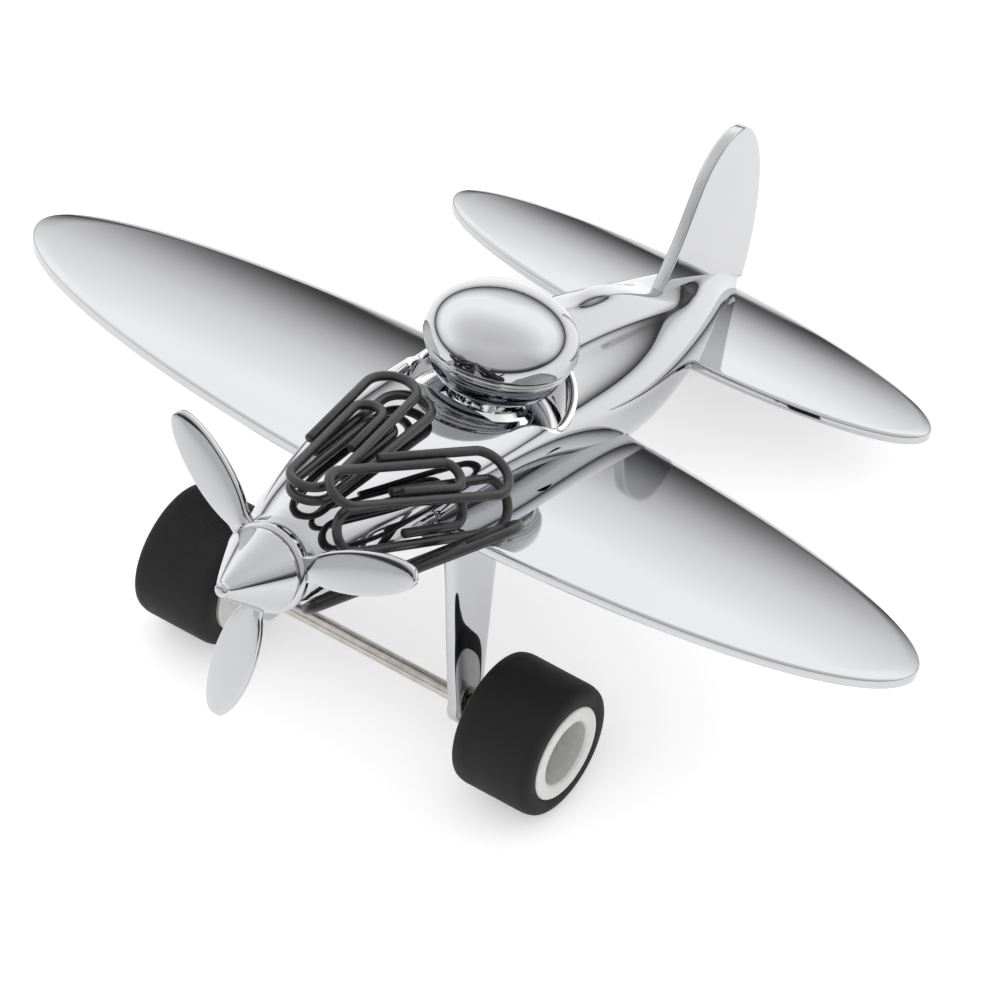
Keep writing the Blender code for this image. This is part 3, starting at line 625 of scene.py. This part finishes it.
def make_fin():
    """The fin's outline with its corners cut until it is smooth, filled to a plate with a fuller middle."""
    line = [np.array(point) for point in FIN]
    for _ in range(4):
        finer = [line[0]]
        for a, b in zip(line, line[1:]):
            finer += [0.75 * a + 0.25 * b, 0.25 * a + 0.75 * b]
        line = finer + [line[-1]]
    outline = even(line, 300)
    edge, root = 0.55, (58.0, 7.0)
    middle_y, middle_z, reach_y, reach_z = 58.0, 14.0, 13.0, 18.0
    thin, fuller = 0.9, 0.25

    def half_thickness(y, z):
        away = math.hypot((y - middle_y) / reach_y, (z - middle_z) / reach_z)
        return thin + fuller * math.exp(-1.6 * away * away)

    points, faces = plate(outline, half_thickness, lambda y, z: -half_thickness(y, z), edge, root)
    upright = Matrix(((0, 0, 1, 0), (1, 0, 0, 0), (0, 1, 0, 0), (0, 0, 0, 1)))
    build("fin_casting", points, faces, "airframe", "tail_fin", CHROME, upright, sharp=60.0)


# ---------------------------------------------------------------- undercarriage
STRUT_FOOT = (16.6, 0.0, 1.3, 3.3)      # at the axle: x, y from the axle, half thickness and half width
STRUT_HEAD = (13.6, -3.4, 1.2, 6.4)     # the same under the wing
STRUT_POWER = 3.6                       # of its section's curve: two is an ellipse, more is squarer
STRUT_END, STRUT_ROUND = 3.42, 3.45     # from the axle down to the strut's end, and that end's radius


def make_strut(side_name, side):
    """A leg that grows wider from the axle to the wing, round about the axle at its lower end."""
    rise, count = UNDER_WING - AXLE_Z, 72
    heights = [AXLE_Z - STRUT_END * math.cos(math.pi / 2 * k / 12) for k in range(12)]
    heights += [AXLE_Z + rise * k / 60 for k in range(61)]
    rings = []
    for z in heights:
        share = (z - AXLE_Z) / rise
        held = min(max(share, 0.0), 1.0)
        middle_x, middle_y, half_x, half_y = (a + (b - a) * held for a, b in zip(STRUT_FOOT, STRUT_HEAD))
        if share < 0:
            fall = max(1 - ((AXLE_Z - z) / STRUT_ROUND) ** 2, 0.0) ** 0.5
            half_y *= max(fall, 0.06)
            half_x *= max(fall, 0.25) ** 0.35
        ring = []
        for i in range(count):
            t = 2 * math.pi * i / count
            c, s = math.cos(t), math.sin(t)
            radius = (abs(c / half_x) ** STRUT_POWER + abs(s / half_y) ** STRUT_POWER) ** (-1 / STRUT_POWER)
            ring.append((side * (middle_x + radius * c), AXLE_Y + middle_y + radius * s, z))
        rings.append(ring)
    points, faces = skin(rings)
    name = "strut_" + side_name
    strut = build("strut_casting_" + side_name, points, faces, "airframe", name, CHROME, sharp=60.0)
    recalculate(strut.data)


def outboard(side):
    """Local frame with z along the axle, outboard."""
    turn = Matrix.Rotation(side * math.pi / 2, 4, "Y")
    return Matrix.Translation((0.0, AXLE_Y, AXLE_Z)) @ turn


TYRE_RADIUS = 10.09
TYRE_IN, TYRE_OUT = 20.9, 34.0      # distances of a tyre's two sides from the plane's middle
HUB_FLOOR = TYRE_IN + 2.2           # of the recess in the hub's outer side
SPACER_IN, SPACER_OUT = 18.45, 20.2


def make_wheel(side_name, side):
    body = "wheel_" + side_name
    place = outboard(side)
    tyre = [
        (7.2, TYRE_OUT - 0.15), (7.9, TYRE_OUT), (8.9, TYRE_OUT), (9.75, TYRE_OUT - 0.45),
        (TYRE_RADIUS, TYRE_OUT - 1.5), (TYRE_RADIUS, TYRE_IN + 1.5),
        (9.75, TYRE_IN + 0.45), (8.9, TYRE_IN), (7.9, TYRE_IN), (7.2, TYRE_IN + 0.15),
    ]
    spin("tyre_tread_" + side_name, tyre, body, "tyre_" + side_name, RUBBER, place, 0.8, 128, True, 60.0)
    outer = TYRE_OUT + 0.1
    hub = [
        (7.19, outer - 0.25), (7.19, TYRE_IN - 0.3), (1.45, TYRE_IN - 0.3), (1.45, HUB_FLOOR),
        (4.9, HUB_FLOOR), (4.9, outer - 0.4), (5.25, outer), (6.9, outer),
    ]
    spin("hub_sleeve_" + side_name, hub, body, "wheel_hub_" + side_name, ALUMINIUM, place, 0.12, 128, True)


def make_axle():
    end = HUB_FLOOR + 1.4
    rod = [(0, end), (0.75, end), (1.15, end - 0.35), (1.15, -end + 0.35), (0.75, -end), (0, -end)]
    spin("axle_rod", rod, "airframe", "axle", NICKEL, outboard(1), 0.1, 64)
    washer = [(2.5, SPACER_OUT), (2.5, SPACER_IN), (1.3, SPACER_IN), (1.3, SPACER_OUT)]
    low = HUB_FLOOR + 0.3
    cap = [
        (2.8, low + 0.9), (2.8, low), (1.2, low), (1.2, low + 1.6), (1.7, low + 2.0), (2.4, low + 1.6),
    ]
    rings = (("spacer_ring_", "spacer_", washer, 0.2), ("axle_cap_", "axle_nut_", cap, 0.15))
    for side_name, side in (("left", 1), ("right", -1)):
        place = outboard(side)
        for name, node, profile, edge in rings:
            spin(name + side_name, profile, "airframe", node + side_name, NICKEL, place, edge, 64, True)


# ---------------------------------------------------------------- propeller
THRUST = Matrix.Translation((0, PROP_Y, PROP_Z)) @ Matrix.Rotation(-PROP_TILT, 4, "X")
FORWARD = THRUST @ Matrix.Rotation(math.pi / 2, 4, "X")      # local z towards the spinner's tip


BLADE_ROOT, BLADE_TIP, BLADE_WIDTH = 5.6, 24.5, 6.5     # radii of a blade's two ends, and its width
BLADE_WIDEST = 0.52      # place of the widest line as a share of the blade's length
BLADE_PITCH = 0.5        # degrees
BLADE_ANGLES = (142.5, 23.5, -95.0)     # degrees from the left wing's side upwards
SPINNER_TIP, SPINNER_BASE, SPINNER_TIP_RADIUS = 11.68, 1.12, 1.12


def blade_swell(share, least):
    """Half width of a blade at a share of its length, as a share of the greatest."""
    return max(1 - (2 * (share - BLADE_WIDEST)) ** 2, least) ** 0.5


def make_blades():
    length = BLADE_TIP - BLADE_ROOT
    side = []
    for i in range(81):
        share = 0.5 - 0.5 * math.cos(math.pi * i / 80)
        least = 1.9 if share < BLADE_WIDEST else 0.12
        side.append((max(BLADE_WIDTH / 2 * blade_swell(share, 0.0), least), BLADE_ROOT + length * share))
    outline = even(side + [(-across, radius) for across, radius in reversed(side)], 220)
    back, edge, centre = -0.55, 0.28, (0.0, 15.0)

    def front(x, r):
        share = min(max((r - BLADE_ROOT) / length, 0.0), 1.0)
        half = BLADE_WIDTH / 2 * blade_swell(share, 0.05)
        return 0.46 + 0.09 * max(1 - (x / half) ** 2, 0.0)

    lay_flat = Matrix.Rotation(math.pi / 2, 4, "X") @ Matrix.Rotation(-math.radians(BLADE_PITCH), 4, "Y")
    points, faces = plate(outline, front, lambda x, r: back, edge, centre, 5, 14)
    for number, angle in enumerate(BLADE_ANGLES, 1):
        place = THRUST @ Matrix.Rotation(math.radians(90 - angle), 4, "Y") @ lay_flat
        name = "blade_casting_%d" % number
        build(name, points, faces, "propeller", "blade_%d" % number, CHROME, place, sharp=60.0)


def make_propeller():
    make_blades()
    hub = [(6.6, 0.55), (6.6, -0.55), (6.15, -1.0), (1.3, -1.0), (1.3, 1.0), (6.15, 1.0)]
    spin("hub_disc", hub, "propeller", "propeller_hub", CHROME, FORWARD, 0.3, 128, True)
    tip, base, blunt = SPINNER_TIP, SPINNER_BASE, SPINNER_TIP_RADIUS
    cone = [(0.0, tip), (0.62, tip), (1.02, tip - 0.25), (blunt, tip - 0.75)]
    for i in range(1, 13):
        share = i / 12
        cone.append((blunt + 4.98 * share**0.92, tip - 0.8 - 9.3 * share))
    cone += [(6.02, base), (5.4, base - 0.1), (0.0, base - 0.1)]
    spin("spinner_cone", cone, "propeller", "spinner", CHROME, FORWARD, 0.25, 128)


# ---------------------------------------------------------------- pilot and small parts
HELMET_RADIUS, HELMET_HEIGHT = 11.05, 6.9
HELMET_FULLNESS = 0.86      # below one fills the dome out towards a straight-sided cap


def make_pilot():
    place = Matrix.Translation((0, HEAD_Y, HEAD_Z))
    helmet = [(0.0, HELMET_HEIGHT)]
    for i in range(1, 45):
        t = math.radians(90 - 2 * i)
        across, height = math.cos(t) ** HELMET_FULLNESS, math.sin(t) ** HELMET_FULLNESS
        helmet.append((HELMET_RADIUS * across, HELMET_HEIGHT * height))
    helmet += [
        (HELMET_RADIUS, -0.5), (10.75, -1.0), (10.6, -1.05), (10.6, -1.3), (10.7, -1.45), (10.6, -1.65),
        (10.4, -1.7), (10.4, -1.95), (10.45, -2.1), (10.3, -2.3), (10.1, -2.35), (10.0, -2.6), (9.7, -2.9),
        (0.0, -2.9),
    ]
    spin("helmet_dome", helmet, "airframe", "pilot_helmet", CHROME, place, 0.12, 160)
    face = [(0.0, -2.95), (9.3, -2.95)]
    for i in range(16):
        t = math.radians(6 * i)
        face.append((9.5 * math.cos(t) ** 0.7, -3.2 - 4.7 * math.sin(t)))
    face.append((0.0, -7.9))
    # the band under the brim wears the darker copy of the chrome: painted shade
    spin("face_band", face, "airframe", "pilot_face", FACE_PAINTED_SHADE, place, 0.3, 160)
    floor = COCKPIT_FLOOR + 0.02 - HEAD_Z
    collar = [
        (0.0, -7.95), (4.6, -7.95), (4.8, -9.2), (5.6, -10.2), (6.8, -10.7), (7.0, -11.0),
        (7.0, floor), (0, floor),
    ]
    # the collar wears the lighter copy of the chrome: painted light in the cockpit
    spin("collar_ring", collar, "airframe", "pilot_collar", PAINTED_LIGHT_CHROME, place, 0.3, 128)


def make_small_parts():
    for number, (y, head) in enumerate(SCREWS, 1):
        foot = head - 1.5
        screw = [
            (0.0, 3.3), (0.9, 3.3), (1.15, 3.0), (1.15, head),
            (2.4, head), (2.4, foot + 0.5), (1.9, foot), (0, foot),
        ]
        place = Matrix.Translation((0, y, 0))
        name = "belly_screw_%d" % number
        made = spin("slotted_" + name, screw, "airframe", name, NICKEL, place, 0.2, 64)
        wide, deep, narrow = 3.0, 0.6, 0.4
        slot = [
            [(-wide, y - narrow, z), (wide, y - narrow, z), (wide, y + narrow, z), (-wide, y + narrow, z)]
            for z in (foot - 1.0, foot + deep)
        ]
        subtract(made, *skin(slot))
    level = Matrix.Translation((0, SKID_Y, SKID_TOP_Z)) @ Matrix.Rotation(PITCH, 4, "X")
    skid = [(0, 0.4), (1.1, 0.4), (1.1, -1.4), (1.3, -2.2), (1.8, -2.9), (1.8, -3.2), (0, -3.2)]
    spin("tail_skid_post", skid, "airframe", "tail_skid", CHROME, level, 0.2, 64)
    pad = [(0, -3.25), (2.2, -3.25), (2.2, -4.67), (0, -4.67)]
    spin("tail_pad_disc", pad, "airframe", "tail_pad", RUBBER, level, 0.25, 64)


# ---------------------------------------------------------------- paper clips
# Each clip's middle, and its heading, climb and roll in degrees.
CLIPS = (
    ((-2.7, -30.7, 11.9), 172.0, -5.5, 3.4),
    ((-1.1, -30.5, 10.0), 177.3, -5.8, 2.9),
    ((9.4, -31.0, 10.4), 199.9, 6.6, -24.7),
    ((11.3, -30.9, 5.3), 196.9, 5.2, -55.2),
    ((14.2, -35.7, 0.3), 232.6, -34.2, 23.4),
)
CLIP_LENGTH, WIRE_RADIUS = 31.6, 0.7      # the length is along the wire's centre line
CLIP_INSET = 8.4          # the inner loop stops this far short of the outer one
CLIP_OUTER_END = 10.8     # from the wire's outer end to the far loop
CLIP_INNER_END = 12.0     # from the wire's inner end to the far loop


def arc(centre, radius, start, end, count):
    """Points on a circle between two angles in degrees."""
    result = []
    for i in range(count + 1):
        t = math.radians(start + (end - start) * i / count)
        result.append((centre[0] + radius * math.cos(t), centre[1] + radius * math.sin(t)))
    return result


def clip_line():
    """Centre line of the wire in its plane: u along the clip, v across."""
    outer, second, inner = 3.7, 2.95, 2.15      # radii of the three bends
    low, high = -CLIP_LENGTH / 2, CLIP_LENGTH / 2
    line = [(high - CLIP_OUTER_END, outer)]
    line += arc((low + outer, 0.0), outer, 90, 270, 28)
    line += arc((high - second, -outer + second), second, -90, 90, 24)
    line += arc((low + CLIP_INSET + inner, 0.05), inner, 90, 270, 20)
    line += [(high - CLIP_INNER_END, 0.05 - inner)]
    return line


def make_clip(number, place, heading, climb, roll):
    """A round wire swept along the clip's line, with its two cut ends slightly rounded."""
    line = clip_line()
    count = 24
    start, end = Vector(line[0]), Vector(line[-1])
    first = (start - Vector(line[1])).normalized()
    last = (end - Vector(line[-2])).normalized()
    stations = [(start + first * 0.15, 0.55), (start + first * 0.1, 0.85)]
    stations += [(Vector(p), 1.0) for p in line]
    stations += [(end + last * 0.1, 0.85), (end + last * 0.15, 0.55)]
    rings = []
    for k, (spot, scale) in enumerate(stations):
        before = stations[max(k - 1, 0)][0]
        after = stations[min(k + 1, len(stations) - 1)][0]
        ahead = (after - before).normalized()
        across = Vector((-ahead.y, ahead.x))
        ring = []
        for i in range(count):
            t = 2 * math.pi * i / count
            offset = across * (WIRE_RADIUS * scale * math.cos(t))
            ring.append((spot.y + offset.y, spot.x + offset.x, WIRE_RADIUS * scale * math.sin(t)))
        rings.append(ring)
    points, faces = skin(rings)
    turn = Matrix.Rotation(-math.radians(heading), 4, "Z") @ Matrix.Rotation(math.radians(climb), 4, "X")
    turn = turn @ Matrix.Rotation(math.radians(roll), 4, "Y")
    matrix = Matrix.Translation(place) @ turn
    name, body = "paper_clip_%d" % number, "clip_%d" % number
    clip = build("coated_" + name, points, faces, body, name, VINYL, matrix, sharp=60.0)
    recalculate(clip.data)


# ---------------------------------------------------------------- studio
def make_floor():
    """A sheet of white paper under the plane, with painted shade that darkens its colour away from the
    plane.
    """
    size = 4.0
    mesh = bpy.data.meshes.new("studio_floor")
    corners = [(-size, -size, 0), (size, -size, 0), (size, size, 0), (-size, size, 0)]
    mesh.from_pydata(corners, [], [(0, 1, 2, 3)])
    floor = bpy.data.objects.new("studio_floor", mesh)
    floor.location.z = -0.0002
    bpy.context.scene.collection.objects.link(floor)
    shade = Shade("studio_paper_painted_shade", (0.93, 0.93, 0.93), 0.0, 0.9)
    shade.shader.inputs["Specular IOR Level"].default_value = 0.0
    shade.shader.inputs["Emission Color"].default_value = (1.0, 1.0, 1.0, 1.0)
    shade.shader.inputs["Emission Strength"].default_value = 0.36
    centre = shade.add("ShaderNodeVectorMath")
    centre.operation = "LENGTH"
    shade.link(shade.coords, "Object", centre, 0)
    # painted shade: the paper's colour falls from near white to dark grey with distance from the floor's
    # middle, under the plane
    shade.tones(centre, "Value", (0.95, 0.95, 0.95), (0.40, 0.40, 0.41), 0.20, 1.2)
    mesh.materials.append(shade.material)


def make_light():
    """Light from all round: a wall far behind the plane as the camera sees it, one at its sides and one on
    the camera's own side, each graded by height and blended into the next.
    """
    world = bpy.data.worlds.new("studio")
    bpy.context.scene.world = world
    world.use_nodes = True
    tree = world.node_tree
    background = tree.nodes["Background"]
    coords = tree.nodes.new("ShaderNodeTexCoord")
    split = tree.nodes.new("ShaderNodeSeparateXYZ")
    tree.links.new(coords.outputs["Generated"], split.inputs[0])

    def ramp(output, stops):
        node = tree.nodes.new("ShaderNodeValToRGB")
        while len(node.color_ramp.elements) < len(stops):
            node.color_ramp.elements.new(0.5)
        for element, (place, value) in zip(node.color_ramp.elements, stops):
            element.position = place
            element.color = (value, value, value, 1.0)
        tree.links.new(output, node.inputs["Fac"])
        return node.outputs["Color"]

    def maths(operation, *values):
        node = tree.nodes.new("ShaderNodeMath")
        node.operation = operation
        for socket, value in zip(node.inputs, values):
            if isinstance(value, (int, float)):
                socket.default_value = value
            else:
                tree.links.new(value, socket)
        return node.outputs[0]

    def blend(factor, a, b):
        node = tree.nodes.new("ShaderNodeMix")
        node.data_type = "RGBA"
        for name, value in (("Factor", factor), ("A", a), ("B", b)):
            tree.links.new(value, node.inputs[name])
        return node.outputs["Result"]

    up = split.outputs["Z"]
    camera_x, camera_y = 0.60, -0.80      # level direction from the plane to the camera
    part_x = maths("MULTIPLY", split.outputs["X"], camera_x)
    part_y = maths("MULTIPLY", split.outputs["Y"], camera_y)
    toward = maths("ADD", part_x, part_y)
    back = ramp(up, (
        (0.0, 0.02), (0.02, 0.07), (0.06, 0.20), (0.10, 0.36), (0.16, 0.54), (0.28, 0.76), (0.50, 0.76),
        (0.8, 0.54), (1.0, 0.48),
    ))
    side = ramp(up, (
        (0.0, 0.04), (0.05, 0.07), (0.09, 0.30), (0.20, 0.55), (0.45, 0.66), (0.8, 0.50), (1.0, 0.44),
    ))
    front = ramp(up, ((0.0, 0.02), (0.10, 0.05), (0.16, 0.16), (0.22, 0.34), (0.75, 0.42), (1.0, 0.48)))
    front_half = blend(ramp(toward, ((0.0, 0.0), (0.5, 1.0))), side, front)
    walls = blend(ramp(maths("MULTIPLY", toward, -1.0), ((0.0, 0.0), (0.6, 1.0))), front_half, back)
    tree.links.new(walls, background.inputs["Color"])
    background.inputs["Strength"].default_value = 2.1


def make_camera():
    """Long lens on the plane's left front, above it."""
    data = bpy.data.cameras.new("camera")
    data.lens = 412.4
    data.sensor_width = 36.0
    data.shift_x = 0.0284
    data.shift_y = -0.0590
    data.clip_end = 20.0
    camera = bpy.data.objects.new("camera", data)
    bpy.context.scene.collection.objects.link(camera)
    right = Vector((0.8120, 0.5480, 0.2009)).normalized()
    back = Vector((0.3999, -0.7730, 0.4925)).normalized()
    up = back.cross(right)
    pose = Matrix((right, up, back)).transposed().to_4x4()
    pose.translation = back * 1.6
    camera.matrix_world = FRAME @ pose
    bpy.context.scene.camera = camera
    bpy.context.scene.view_settings.view_transform = "Standard"


make_camera()
make_floor()
make_light()
make_fuselage()
make_belly()
make_wing()
make_tailplane()
make_fin()
make_axle()
for side_word, sign in (("left", 1), ("right", -1)):
    make_strut(side_word, sign)
    make_wheel(side_word, sign)
make_propeller()
make_pilot()
make_small_parts()
for number, (middle, heading, climb, roll) in enumerate(CLIPS, 1):
    make_clip(number, middle, heading, climb, roll)
for node_name, finish in (
    ("shaft_bush", BRASS), ("nose_magnet", MAGNET), ("shaft_collar", NICKEL), ("propeller_shaft", NICKEL),
):
    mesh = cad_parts[node_name].data
    mesh.materials.clear()
    mesh.materials.append(finish)

bpy.context.view_layer.update()
